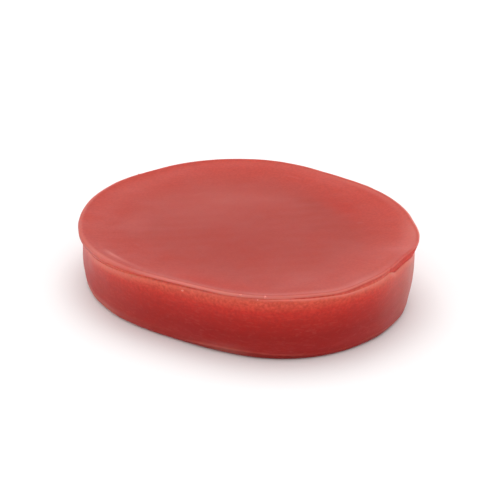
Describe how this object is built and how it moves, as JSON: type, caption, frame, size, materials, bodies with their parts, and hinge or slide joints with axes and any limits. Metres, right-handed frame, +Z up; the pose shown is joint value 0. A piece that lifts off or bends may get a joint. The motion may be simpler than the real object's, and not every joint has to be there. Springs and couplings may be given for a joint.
{
  "type": "detailing clay bar",
  "caption": "Oval bar of soft car-detailing clay with a shallow dished top, a thin overhanging rim and a flat base, kneaded flat and rubbed over wet paint to lift grime.",
  "frame": {"origin": "centre of the outline on the flat base that the bar rests on", "axes": "+Z up from the base to the dished top, +X along the longest side towards the high end of the rim, +Y across the bar towards the back"},
  "size_m": [0.076, 0.072, 0.0172],
  "materials": {
    "clay": "satin red clay, slightly translucent"
  },
  "bodies": {
    "root": {"clay_bar": "clay"}
  },
  "joints": []
}
